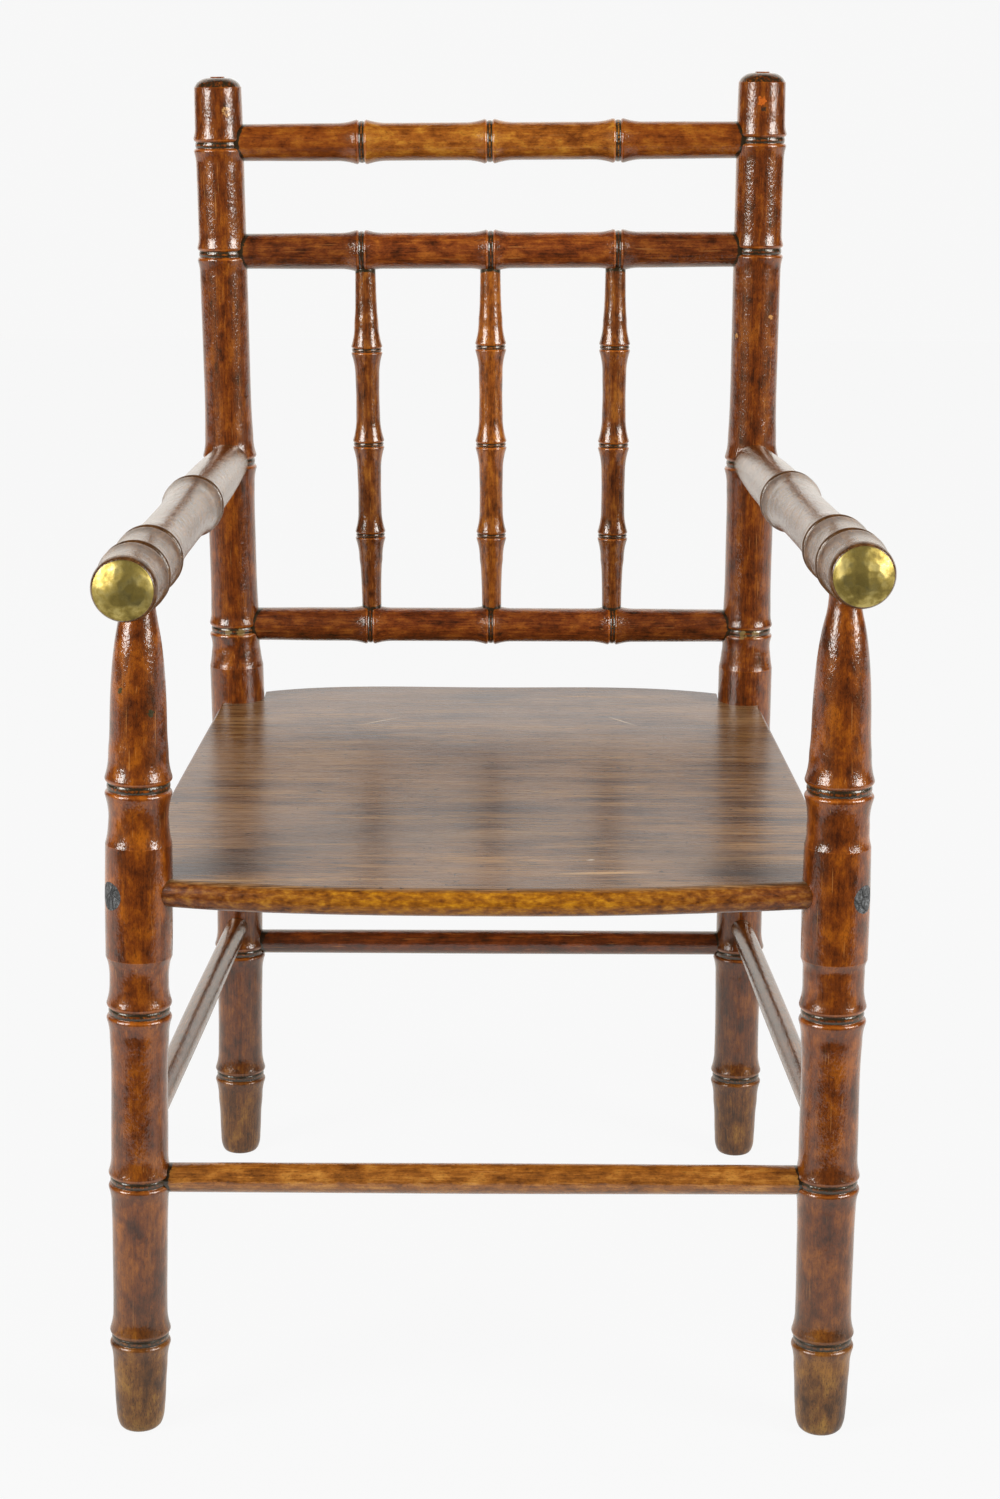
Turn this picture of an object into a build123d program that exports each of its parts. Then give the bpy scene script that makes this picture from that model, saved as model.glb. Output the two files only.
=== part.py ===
from build123d import *
import math
import os

# Child's armchair, turned in the faux-bamboo manner. Every dimension is in millimetres.
# Places are given from the point on the floor midway between the front feet: x towards the right as seen
# from the front, y towards the back, z up. The part's own origin is on the floor under the middle of its box.

# Floor and seat
seat_height = 270.4
seat_thickness = 13.0
seat_middle_height = seat_height - seat_thickness / 2
glue_line_y = 157.0
nosing_front_y = -9.8
nosing_end_y = 2.5
nosing_half_width = 148.0
front_corner_y = 14.0
seat_front_half_width = 162.5
seat_glue_half_width = 158.6
seat_back_half_width = 151.6
seat_back_y = 368.8
seat_side_end_y = 329.6
hollow_back_y = 356.6
hollow_overlap = 0.1
edge_round = 1.4

# Front legs: the frame has racked a little, so the left one leans in and the right one is upright
front_foot_x = {"left": -164.0, "right": 160.0}
front_lean_x = {"left": 0.0209, "right": 0.0}
front_lean_y = 0.0477
front_leg_extra = {"left": 0.0, "right": 0.5}
seat_zone = (228, 291)
leg_neck_height = 390
front_leg_bore_height = {"front": 124.6, "side": 142.8}

# Rear posts: straight from the foot to the seat and from the seat to the finial, leaning back more below
post_foot_x = {"left": -146.3, "right": 144.65}
post_knee_x = {"left": -143.45, "right": 144.7}
post_top_x = {"left": -148.2, "right": 145.95}
post_foot_y, post_knee_y, post_top_y = 327.2, 341.6, 351.2
post_bend_height = 246.0
post_top_height = 590.0
right_post_rise = 3.8
rise_start = 414
full_rise = 564
post_bore_height = {"rear": 126.3, "side": 138.2}

# Back rails: height at the left post, rise to the right one, depth, waist and lip radii, node places
crest_rail_height, crest_rail_rise = 579.1, 2.8
middle_rail_height, middle_rail_rise = 520.9, 2.3
lower_rail_height, lower_rail_rise = 313.1, 0.0
crest_rail_radii = (10.2, 11.95)
middle_rail_radii = (9.85, 11.3)
lower_rail_radii = (9.55, 11.1)
crest_node_x = (-70.6, -1.1, 68.5)
middle_node_x = (-71.1, -0.4, 69.3)
lower_node_x = (-67.7, 0.2, 68.8)
spindle_top_x = (-69.4, -0.7, 68.1)
spindle_foot_x = (-66.9, 0.7, 68.4)
spindle_upper_node = (154.6, 156.6, 156.6)

# Arms: height and sideways run from the rear post to the front end
arm_height_at_post = {"left": 405.7, "right": 406.3}
arm_drift_x = {"left": -0.0293, "right": 0.0456}
arm_climb = {"left": 0.0150, "right": 0.0331}
arm_length = 371.5
arm_post_y = 347.4
cap_radius = 13.4
cap_height = 4.6
cap_edge = 0.5
cap_wall = 0.9
cap_nail_radius = 1.2
cap_nail_depth = 14.0

# Stretchers
front_stretcher_radii = (6.9, 7.2)
rear_stretcher_radii = (6.8, 7.0)
side_stretcher_radii = (6.2, 6.7)

# Joints: round tenons, glued
rail_tenon_radius = 6.0
stretcher_tenon_radius = 5.0
spindle_tenon_radius = 3.6
leg_tenon_radius = 5.5
mortise_past_axis = 3.0
tenon_gap = 1.0
bore_length = 30.0

# Seat screws and their plugs, driven at an angle through each leg into the seat's corner
plug_radius = 6.6
plug_depth = 5.5
screw_head_radius = 3.6
screw_head_height = 3.0
screw_shank_radius = 1.8
screw_length = 42.0
front_screw_turn = 50.0
rear_screw_turn = 40.0

# Bamboo nodes: two rounded lips about a groove with a bead in it, all in shares of the lip's radius
lip_reach = 0.235
lip_crown = 0.12
lip_flank_angle = math.radians(18)
lip_groove_angle = math.radians(75)
bead_rise = 0.45

# The middle of the whole chair's box, which is the part's origin
middle_x = -0.25
middle_y = 170.7

sides = ("left", "right")
outward = {"left": -1, "right": 1}


def spot(x, y, z):
    """A place on the chair, in the part's own frame."""
    return Vector(x - middle_x, y - middle_y, z)


def lathe_plane(start, end, across):
    """Plane through a turned piece, with its Y axis along the piece from start towards end."""
    along = (end - start).normalized()
    side = (across - along * across.dot(along)).normalized()
    return Plane(origin=start, x_dir=side, z_dir=side.cross(along))


def bamboo_node(distance, radius, height):
    """Outline of a node: two lips about a groove with a bead in it. Returns the ends of the plain wood."""
    crown = lip_crown * radius
    slant = 1 - math.cos(lip_flank_angle)
    flare = height / slant - crown
    flank_radius = radius - crown * slant
    flank_reach = lip_reach * radius + crown * math.sin(lip_flank_angle)
    groove_radius = radius - crown * (1 - math.cos(lip_groove_angle))
    groove_reach = lip_reach * radius - crown * math.sin(lip_groove_angle)
    neck_radius = radius - height
    neck_reach = flank_reach + flare * math.sin(lip_flank_angle)
    bend_radius = neck_radius + flare * (1 - math.cos(lip_flank_angle / 2))
    bend_reach = neck_reach - flare * math.sin(lip_flank_angle / 2)
    for way in (-1, 1):
        lip_top = (radius, distance + way * lip_reach * radius)
        flank = (flank_radius, distance + way * flank_reach)
        bend = (bend_radius, distance + way * bend_reach)
        ThreePointArc((groove_radius, distance + way * groove_reach), lip_top, flank)
        ThreePointArc(flank, bend, (neck_radius, distance + way * neck_reach))
    ThreePointArc((groove_radius, distance - groove_reach), (groove_radius + bead_rise, distance),
                  (groove_radius, distance + groove_reach))
    return Vector(neck_radius, distance - neck_reach), Vector(neck_radius, distance + neck_reach)


def plain_stretch(points, from_node, to_node):
    """Smooth outline through the points, running in line with the piece where it meets a node."""
    if len(points) == 2 and not from_node and not to_node:
        Line(*points)
        return
    along = Vector(0, 1)
    first = along if from_node else (points[1] - points[0]).normalized()
    last = along if to_node else (points[-1] - points[-2]).normalized()
    Spline(*points, tangents=(first, last))


def turned_section(plane, stations):
    """Half section of a turned piece, on a plane through its axis.

    A station is a distance along the piece and the radius there. A third value of "edge" marks the edge of a
    turned shoulder. A number there marks a bamboo node: the radius is that of its two lips, and the number is
    how far they stand above the wood beside them.
    """
    with BuildSketch(plane) as section:
        with BuildLine():
            start, end = stations[0], stations[-1]
            Line((0, start[0]), (start[1], start[0]))
            stretch = [Vector(start[1], start[0])]
            from_node = False
            for distance, radius, *mark in stations[1:]:
                if not mark:
                    stretch.append(Vector(radius, distance))
                elif mark[0] == "edge":
                    shoulder = Vector(radius, distance)
                    plain_stretch(stretch + [shoulder], from_node, False)
                    stretch, from_node = [shoulder], False
                else:
                    near, far = bamboo_node(distance, radius, mark[0])
                    plain_stretch(stretch + [near], from_node, True)
                    stretch, from_node = [far], True
            plain_stretch(stretch, from_node, False)
            Line((end[1], end[0]), (0, end[0]))
            Line((0, end[0]), (0, start[0]))
        make_face()
    return section.sketch


def axis_of(plane):
    """The turning axis of a piece whose section lies on the plane."""
    return Axis(plane.origin, plane.y_dir)


def point_along(plane, distance):
    """The point on a piece's turning axis at a distance from its start."""
    return plane.origin + plane.y_dir * distance


def mortise_plane(on_axis, towards):
    """Plane at the bottom of a mortise, just past the axis of the piece that is bored."""
    direction = towards.normalized()
    return Plane(origin=on_axis - direction * mortise_past_axis, z_dir=direction)


# Axes of the uprights
across_x = Vector(1, 0, 0)
across_z = Vector(0, 0, 1)
leg_plane = {}
lower_post_plane = {}
upper_post_plane = {}
for side in sides:
    foot = spot(front_foot_x[side], 0, 0)
    lean = Vector(front_lean_x[side], front_lean_y, 1)
    leg_plane[side] = lathe_plane(foot, foot + lean, across_x)
    post_floor = spot(post_foot_x[side], post_foot_y, 0)
    post_bend = spot(post_knee_x[side], post_knee_y, post_bend_height)
    post_peak = spot(post_top_x[side], post_top_y, post_top_height)
    lower_post_plane[side] = lathe_plane(post_floor, post_bend, across_x)
    upper_post_plane[side] = lathe_plane(post_bend, post_peak, across_x)


def leg_point(side, height):
    """Point on a front leg's axis at a height."""
    plane = leg_plane[side]
    return point_along(plane, height / plane.y_dir.Z)


def post_point(side, height):
    """Point on a rear post's axis at a height."""
    plane = lower_post_plane[side] if height < post_bend_height else upper_post_plane[side]
    return point_along(plane, (height - plane.origin.Z) / plane.y_dir.Z)


# Axes of the arms
arm_plane = {}
for side in sides:
    arm_start = spot(outward[side] * 145.4, arm_post_y, arm_height_at_post[side])
    arm_run = Vector(arm_drift_x[side], -1, arm_climb[side])
    arm_plane[side] = lathe_plane(arm_start, arm_start + arm_run, across_x)


def point_over_leg(side):
    """Where an arm's axis passes over the axis of its front leg."""
    arm, leg = arm_plane[side], leg_plane[side]
    travel = (arm.origin.Y - leg.origin.Y - leg.y_dir.Y * arm.origin.Z / leg.y_dir.Z) / -arm.y_dir.Y
    return point_along(arm, travel)


# Axes of the rails and stretchers, from left to right or from back to front
rear_left_low = post_point("left", post_bore_height["rear"])
rear_right_low = post_point("right", post_bore_height["rear"])
front_left_low = leg_point("left", front_leg_bore_height["front"])
front_right_low = leg_point("right", front_leg_bore_height["front"])
rail_ends = {
    "crest_rail": (post_point("left", crest_rail_height),
                   post_point("right", crest_rail_height + crest_rail_rise)),
    "middle_rail": (post_point("left", middle_rail_height),
                    post_point("right", middle_rail_height + middle_rail_rise)),
    "lower_rail": (post_point("left", lower_rail_height),
                   post_point("right", lower_rail_height + lower_rail_rise)),
    "rear_stretcher": (rear_left_low, rear_right_low),
    "front_stretcher": (front_left_low, front_right_low),
}
side_ends = {}
for side in sides:
    side_ends[side] = (post_point(side, post_bore_height["side"]),
                       leg_point(side, front_leg_bore_height["side"]))


def screw_plane(side, at_front):
    """Plane on an upright's axis at the seat's mid thickness, facing out along the screw."""
    turn = math.radians(front_screw_turn if at_front else rear_screw_turn)
    on_axis = leg_point(side, seat_middle_height) if at_front else post_point(side, seat_middle_height)
    forward = -1 if at_front else 1
    outer = Vector(outward[side] * math.sin(turn), forward * math.cos(turn), 0)
    return Plane(origin=on_axis, z_dir=outer)


def seat_screw(plane, surface_radius):
    """One seat screw: its head under the plug, its shank through the upright into the seat."""
    head_top = surface_radius - plug_depth
    with BuildPart() as screw:
        with BuildSketch(plane.offset(head_top - screw_head_height)):
            Circle(screw_head_radius)
        extrude(amount=screw_head_height)
        with BuildSketch(plane.offset(head_top - screw_length)):
            Circle(screw_shank_radius)
        extrude(amount=screw_length - screw_head_height / 2)
    return screw.part


def plug_blank(plane, surface_radius):
    """One plug before its end is cut to the upright's surface."""
    with BuildPart() as blank:
        with BuildSketch(plane.offset(surface_radius - plug_depth)):
            Circle(plug_radius)
        extrude(amount=plug_depth + 4)
    return blank.part


upright_radius_at_seat = 15.4
screw_planes = [screw_plane(side, at_front) for at_front in (True, False) for side in sides]
screws = [seat_screw(plane, upright_radius_at_seat) for plane in screw_planes]
plug_blanks = [plug_blank(plane, upright_radius_at_seat) for plane in screw_planes]

# Turned outlines of the uprights: height from the floor, radius, and the height of the lips at a node
front_leg_stations = [
    (-3, 9.9), (3, 10.7), (11, 11.7), (24, 12.3), (45.8, 14.3, 1.5),
    (66, 12.75), (86, 12.9), (108, 13.15), (124.4, 14.6, 1.3), (146, 13.3), (188, 13.4), (206.8, 15.1, 1.4),
    (226, 13.8), (230, 14.4), (233, 15.4, "edge"), (260, 15.6), (286, 15.3, "edge"),
    (289.5, 14.5), (296, 13.85), (313, 15.4, 1.7),
    (335, 13.2), (350, 12.8), (361, 12.3), (372, 11.4), (380, 10.4), (387, 9.2), (394, 8.1),
]
leg_neck_radius = 7.6
post_radius_at_seat = 15.1
lower_post_stations = [
    (-3, 10.3), (2, 10.9), (11, 11.7), (24, 12.2), (46.5, 14.5, 1.6), (68, 12.8), (95, 12.9),
    (121.5, 14.5, 1.4), (160, 13.1), (207, 14.6, 1.4), (226, 13.7), (230, 14.3),
    (233, post_radius_at_seat, "edge"), (post_bend_height + 2, post_radius_at_seat),
]
upper_post_stations = [
    (post_bend_height - 2, post_radius_at_seat), (289.4, post_radius_at_seat, "edge"),
    (292.5, 14.5), (297.5, 13.9), (311, 14.4, 0.95), (332, 13.15), (360, 13.1), (386, 13.25),
    (405.6, 14.9, 1.4), (430, 13.1), (468, 12.95), (494, 13.05), (519.8, 14.1, 0.95), (549, 13.1),
    (578, 14.15, 1.0), (597, 13.05), (608.3, 12.85, "edge"), (610.8, 11.0), (612.6, 7.6), (613.2, 4.0),
]
finial_nib = [(612.6, 3.9), (614.2, 3.7)]


def fuller(stations, extra):
    """The same turned outline, thicker by the extra, but for the seat zone and the neck."""
    outline = []
    for height, radius, *lips in stations:
        kept = seat_zone[0] < height < seat_zone[1] or height > leg_neck_height
        outline.append((height, radius if kept else radius + extra, *lips))
    return outline


def above_bend(stations, rise):
    """The same turned outline, measured from the post's bend, with its upper part drawn up by the rise."""
    moved = []
    for height, *others in stations:
        share = (height - rise_start) / (full_rise - rise_start)
        share = min(1, max(0, share))
        moved.append((height - post_bend_height + rise * share, *others))
    return moved


# Rear posts
rear_posts = {}
for index, side in enumerate(sides):
    rise = right_post_rise if side == "right" else 0
    lower, upper = lower_post_plane[side], upper_post_plane[side]
    mitre = Plane(origin=upper.origin, z_dir=lower.y_dir + upper.y_dir)
    with BuildPart() as lower_half:
        revolve(turned_section(lower, lower_post_stations), axis=axis_of(lower))
        split(bisect_by=Plane.XY, keep=Keep.TOP)
        split(bisect_by=mitre, keep=Keep.BOTTOM)
    with BuildPart() as upper_half:
        revolve(turned_section(upper, above_bend(upper_post_stations, rise)), axis=axis_of(upper))
        revolve(turned_section(upper, above_bend(finial_nib, rise)), axis=axis_of(upper))
        split(bisect_by=mitre, keep=Keep.TOP)
    with BuildPart() as post:
        add(lower_half)
        add(upper_half)
        blank = post.part
        for name in ("crest_rail", "middle_rail", "lower_rail", "rear_stretcher"):
            left_end, right_end = rail_ends[name]
            here, there = (left_end, right_end) if side == "left" else (right_end, left_end)
            with BuildSketch(mortise_plane(here, there - here)):
                Circle(stretcher_tenon_radius if name == "rear_stretcher" else rail_tenon_radius)
            extrude(amount=bore_length, mode=Mode.SUBTRACT)
        here, there = side_ends[side]
        with BuildSketch(mortise_plane(here, there - here)):
            Circle(stretcher_tenon_radius)
        extrude(amount=bore_length, mode=Mode.SUBTRACT)
        with BuildSketch(mortise_plane(arm_plane[side].origin, arm_plane[side].y_dir)):
            Circle(rail_tenon_radius)
        extrude(amount=bore_length, mode=Mode.SUBTRACT)
        add(screws[index + 2], mode=Mode.SUBTRACT)
        add(plug_blanks[index + 2], mode=Mode.SUBTRACT)
    post.part.label = side + "_rear_post"
    rear_posts[side] = (blank, post.part)

# Arms
arm_stations = [
    (-2, 10.8), (20, 11.2), (50, 12.1), (80, 12.8), (110, 13.1), (153.4, 15.4, 1.8),
    (180, 13.0), (225, 12.5), (270, 13.2), (300.4, 15.8, 1.5), (321, 14.15), (341.7, 16.2, 1.5),
    (361, 14.5), (arm_length, 14.3),
]
arms = {}
for side in sides:
    plane = arm_plane[side]
    with BuildPart() as arm:
        revolve(turned_section(plane, arm_stations), axis=axis_of(plane))
        add(rear_posts[side][1], mode=Mode.SUBTRACT)
        with BuildSketch(mortise_plane(point_over_leg(side), -leg_plane[side].y_dir)):
            Circle(leg_tenon_radius)
        extrude(amount=bore_length, mode=Mode.SUBTRACT)
        with BuildSketch(Plane(origin=point_along(plane, arm_length), z_dir=-plane.y_dir)):
            Circle(cap_nail_radius)
        extrude(amount=cap_nail_depth + tenon_gap, mode=Mode.SUBTRACT)
    arm.part.label = side + "_arm"
    arms[side] = arm.part

# Front legs
front_legs = {}
for index, side in enumerate(sides):
    plane = leg_plane[side]
    leg_length = (point_over_leg(side) - plane.origin).length + mortise_past_axis - tenon_gap
    with BuildPart() as leg:
        outline = fuller(front_leg_stations, front_leg_extra[side]) + [(leg_length, leg_neck_radius)]
        revolve(turned_section(plane, outline), axis=axis_of(plane))
        split(bisect_by=Plane.XY, keep=Keep.TOP)
        blank = leg.part
        left_end, right_end = rail_ends["front_stretcher"]
        here, there = (left_end, right_end) if side == "left" else (right_end, left_end)
        with BuildSketch(mortise_plane(here, there - here)):
            Circle(stretcher_tenon_radius)
        extrude(amount=bore_length, mode=Mode.SUBTRACT)
        there, here = side_ends[side]
        with BuildSketch(mortise_plane(here, there - here)):
            Circle(stretcher_tenon_radius)
        extrude(amount=bore_length, mode=Mode.SUBTRACT)
        add(screws[index], mode=Mode.SUBTRACT)
        add(plug_blanks[index], mode=Mode.SUBTRACT)
        add(arms[side], mode=Mode.SUBTRACT)
    leg.part.label = side + "_front_leg"
    front_legs[side] = (blank, leg.part)


def crosspiece(start, end, stations, joined):
    """A turned piece between two uprights or rails, with its ends cut to them and its tenons left on."""
    plane = lathe_plane(start, end, across_z if abs((end - start).normalized().Z) < 0.9 else across_x)
    with BuildPart() as piece:
        revolve(turned_section(plane, stations), axis=axis_of(plane))
        for neighbour in joined:
            add(neighbour, mode=Mode.SUBTRACT)
    return piece.part


def rail_stations(start, end, radii, node_places):
    """Outline of a back rail: slim at its ends, with its nodes where the spindles meet it."""
    waist, lip = radii
    length = (end - start).length
    nodes = [place - middle_x - start.X for place in node_places]
    stations = [(tenon_gap - mortise_past_axis, waist - 0.3), (22, waist - 0.25)]
    for node in nodes:
        stations += [(node - 28, waist), (node, lip, lip - waist)]
    return stations + [(length - 22, waist - 0.25), (length + mortise_past_axis - tenon_gap, waist - 0.3)]


# Back rails
rails = {}
for name, radii, places in (
    ("crest_rail", crest_rail_radii, crest_node_x),
    ("middle_rail", middle_rail_radii, middle_node_x),
    ("lower_rail", lower_rail_radii, lower_node_x),
):
    start, end = rail_ends[name]
    uprights = [rear_posts[side][1] for side in sides]
    rails[name] = crosspiece(start, end, rail_stations(start, end, radii, places), uprights)

# Spindles, and the mortises for them in the two rails
middle_start, middle_end = rail_ends["middle_rail"]
lower_start, lower_end = rail_ends["lower_rail"]
spindle_axes = []
for top_x, foot_x in zip(spindle_top_x, spindle_foot_x):
    top_share = (top_x - middle_x - middle_start.X) / (middle_end.X - middle_start.X)
    foot_share = (foot_x - middle_x - lower_start.X) / (lower_end.X - lower_start.X)
    top = middle_start + (middle_end - middle_start) * top_share
    foot = lower_start + (lower_end - lower_start) * foot_share
    spindle_axes.append((foot, top))

with BuildPart() as middle_rail:
    add(rails["middle_rail"])
    for foot, top in spindle_axes:
        with BuildSketch(mortise_plane(top, foot - top)):
            Circle(spindle_tenon_radius)
        extrude(amount=bore_length, mode=Mode.SUBTRACT)
with BuildPart() as lower_rail:
    add(rails["lower_rail"])
    for foot, top in spindle_axes:
        with BuildSketch(mortise_plane(foot, top - foot)):
            Circle(spindle_tenon_radius)
        extrude(amount=bore_length, mode=Mode.SUBTRACT)
rails["middle_rail"] = middle_rail.part
rails["lower_rail"] = lower_rail.part
for name, rail in rails.items():
    rail.label = name

spindles = {}
spindle_names = ("left_spindle", "middle_spindle", "right_spindle")
for name, (foot, top), upper_node in zip(spindle_names, spindle_axes, spindle_upper_node):
    length = (top - foot).length
    spindle_stations = [
        (tenon_gap - mortise_past_axis, 5.5), (14, 5.5), (26, 5.75), (34, 6.15), (51.5, 8.4, 1.8),
        (77, 6.5), (102.5, 8.7, 2.0), (129, 6.5), (upper_node, 8.6, 1.9),
        (upper_node + 20, 6.25), (length - 16, 5.75), (length + mortise_past_axis - tenon_gap, 5.6),
    ]
    spindle = crosspiece(foot, top, spindle_stations, (rails["middle_rail"], rails["lower_rail"]))
    spindle.label = name
    spindles[name] = spindle


def stretcher_stations(start, end, radii):
    """Outline of a stretcher, a little fuller in the middle than at its ends."""
    ends, middle = radii
    length = (end - start).length
    return [
        (tenon_gap - mortise_past_axis, ends), (length / 4, (ends + middle) / 2), (length / 2, middle),
        (length * 3 / 4, (ends + middle) / 2), (length + mortise_past_axis - tenon_gap, ends),
    ]


# Stretchers
stretchers = {}
for name, radii, uprights in (
    ("front_stretcher", front_stretcher_radii, [front_legs[side][1] for side in sides]),
    ("rear_stretcher", rear_stretcher_radii, [rear_posts[side][1] for side in sides]),
):
    start, end = rail_ends[name]
    stretchers[name] = crosspiece(start, end, stretcher_stations(start, end, radii), uprights)
for side in sides:
    start, end = side_ends[side]
    uprights = (rear_posts[side][1], front_legs[side][1])
    stations = stretcher_stations(start, end, side_stretcher_radii)
    stretchers[side + "_stretcher"] = crosspiece(start, end, stations, uprights)
for name, stretcher in stretchers.items():
    stretcher.label = name

# Seat: two boards glued edge to edge, rounded in front, cut round the front legs, hollowed to fit the rear posts
seat_bottom = Plane.XY.offset(seat_height - seat_thickness)
glue_left = spot(-seat_glue_half_width, glue_line_y, 0)
glue_right = spot(seat_glue_half_width, glue_line_y, 0)
with BuildPart() as front_board:
    with BuildSketch(seat_bottom):
        with BuildLine():
            nosing_left = spot(-nosing_half_width, nosing_end_y, 0)
            nosing_right = spot(nosing_half_width, nosing_end_y, 0)
            corner_left = spot(-seat_front_half_width, front_corner_y, 0)
            corner_right = spot(seat_front_half_width, front_corner_y, 0)
            Polyline(nosing_left, corner_left, glue_left, glue_right, corner_right, nosing_right)
            Spline(nosing_right, spot(105, -3.6, 0), spot(55, -8.4, 0), spot(0, nosing_front_y, 0),
                   spot(-55, -8.9, 0), spot(-105, -5.2, 0), nosing_left)
        make_face()
    extrude(amount=seat_thickness)
    fillet(front_board.edges().filter_by(GeomType.BSPLINE), seat_thickness / 2 - 0.1)
    board_sides = front_board.edges().filter_by(GeomType.LINE).filter_by(
        lambda edge: abs(edge.center().X) > seat_glue_half_width - 2 and abs(edge.tangent_at(0.5).Y) > 0.9)
    fillet(board_sides, edge_round)
    for side in sides:
        add(front_legs[side][0], mode=Mode.SUBTRACT)
    for screw in screws:
        add(screw, mode=Mode.SUBTRACT)
front_board.part.label = "seat_front_board"

post_centre = [post_point(side, seat_middle_height) for side in sides]
centre_left, centre_right = [Vector(point.X, point.Y) for point in post_centre]
hollow_left = centre_left + across_x * (post_radius_at_seat - hollow_overlap)
hollow_right = centre_right - across_x * (post_radius_at_seat - hollow_overlap)
back_left = Vector(hollow_left.X, spot(0, hollow_back_y, 0).Y)
back_right = Vector(hollow_right.X, spot(0, hollow_back_y, 0).Y)
with BuildPart() as rear_board:
    with BuildSketch(seat_bottom):
        with BuildLine():
            side_left = spot(-seat_back_half_width, seat_side_end_y, 0)
            side_right = spot(seat_back_half_width, seat_side_end_y, 0)
            Polyline(back_left, hollow_left, centre_left, side_left, glue_left)
            Line(glue_left, glue_right)
            Polyline(glue_right, side_right, centre_right, hollow_right, back_right)
            Spline(back_right, spot(112, 363.2, 0), spot(92, 367.6, 0), spot(0, seat_back_y, 0),
                   spot(-92, 367.6, 0), spot(-112, 363.2, 0), back_left)
        make_face()
    extrude(amount=seat_thickness)
    fillet(rear_board.edges().filter_by(GeomType.BSPLINE), edge_round)
    board_sides = rear_board.edges().filter_by(GeomType.LINE).filter_by(
        lambda edge: abs(edge.center().X) > seat_back_half_width - 2 and abs(edge.tangent_at(0.5).Y) > 0.9)
    fillet(board_sides, edge_round)
    for side in sides:
        add(rear_posts[side][0], mode=Mode.SUBTRACT)
    for screw in screws:
        add(screw, mode=Mode.SUBTRACT)
rear_board.part.label = "seat_rear_board"


def dome_arc(radius, low, high):
    """Three points of a shallow dome's outline, from its rim to its top on the axis."""
    sphere = (radius ** 2 + (high - low) ** 2) / (2 * (high - low))
    half_turn = math.asin(radius / sphere) / 2
    halfway = (sphere * math.sin(half_turn), high - sphere * (1 - math.cos(half_turn)))
    return (radius, low), halfway, (0, high)


# Brass domes on the arms' front ends, and the nails behind them
caps = {}
nails = []
for side in sides:
    arm_end = point_along(arm_plane[side], arm_length)
    along = arm_plane[side].y_dir
    plane = lathe_plane(arm_end, arm_end + along, across_x)
    with BuildPart() as cap:
        with BuildSketch(plane):
            with BuildLine():
                rim, outer_halfway, top = dome_arc(cap_radius, cap_edge, cap_height)
                inner_radius, inner_height = cap_radius - cap_wall, cap_height - cap_wall
                inner_rim, inner_halfway, inner_top = dome_arc(inner_radius, 0, inner_height)
                Line((cap_radius, 0), rim)
                ThreePointArc(rim, outer_halfway, top)
                Line(top, inner_top)
                ThreePointArc(inner_top, inner_halfway, inner_rim)
                Line(inner_rim, (cap_radius, 0))
            make_face()
        revolve(axis=axis_of(plane))
    cap.part.label = side + "_arm_cap"
    caps[side] = cap.part
    with BuildPart() as nail:
        with BuildSketch(Plane(origin=arm_end - along * cap_nail_depth, z_dir=along)):
            Circle(cap_nail_radius)
        extrude(amount=cap_nail_depth + cap_height - cap_wall / 2)
        add(cap.part, mode=Mode.SUBTRACT)
    nails.append(nail.part)

with BuildPart() as cap_nails:
    for nail in nails:
        add(nail)
cap_nails.part.label = "cap_nails"

# Screws and plugs of the seat
with BuildPart() as seat_screws:
    for screw in screws:
        add(screw)
seat_screws.part.label = "seat_screws"

uprights = [front_legs["left"][0], front_legs["right"][0], rear_posts["left"][0], rear_posts["right"][0]]
cut_plugs = []
for blank, upright in zip(plug_blanks, uprights):
    with BuildPart() as plug:
        add(blank)
        add(upright, mode=Mode.INTERSECT)
    cut_plugs.append(plug.part)
with BuildPart() as screw_plugs:
    for plug in cut_plugs:
        add(plug)
screw_plugs.part.label = "screw_plugs"

# Write every piece
pieces = [front_legs["left"][1], front_legs["right"][1], rear_posts["left"][1], rear_posts["right"][1]]
pieces += [*arms.values(), *rails.values(), *spindles.values(), *stretchers.values(), *caps.values()]
pieces += [front_board.part, rear_board.part, cap_nails.part, seat_screws.part, screw_plugs.part]
os.makedirs("parts", exist_ok=True)
for piece in pieces:
    export_step(piece, "parts/" + piece.label + ".step")
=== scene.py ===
import math

import bpy
import numpy as np
from mathutils import Matrix, Vector


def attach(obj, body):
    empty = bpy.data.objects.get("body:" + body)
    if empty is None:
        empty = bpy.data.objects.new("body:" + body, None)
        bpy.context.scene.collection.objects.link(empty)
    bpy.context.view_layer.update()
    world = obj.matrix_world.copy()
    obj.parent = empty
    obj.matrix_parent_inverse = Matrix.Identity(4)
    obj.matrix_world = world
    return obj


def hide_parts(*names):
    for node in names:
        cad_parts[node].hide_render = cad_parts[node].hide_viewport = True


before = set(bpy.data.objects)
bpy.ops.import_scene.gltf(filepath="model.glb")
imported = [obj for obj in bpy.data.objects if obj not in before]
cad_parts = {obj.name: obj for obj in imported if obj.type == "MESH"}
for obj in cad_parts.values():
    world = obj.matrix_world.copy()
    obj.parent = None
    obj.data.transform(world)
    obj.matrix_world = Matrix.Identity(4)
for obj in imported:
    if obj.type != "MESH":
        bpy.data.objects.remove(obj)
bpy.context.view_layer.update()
mm = 0.001

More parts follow.
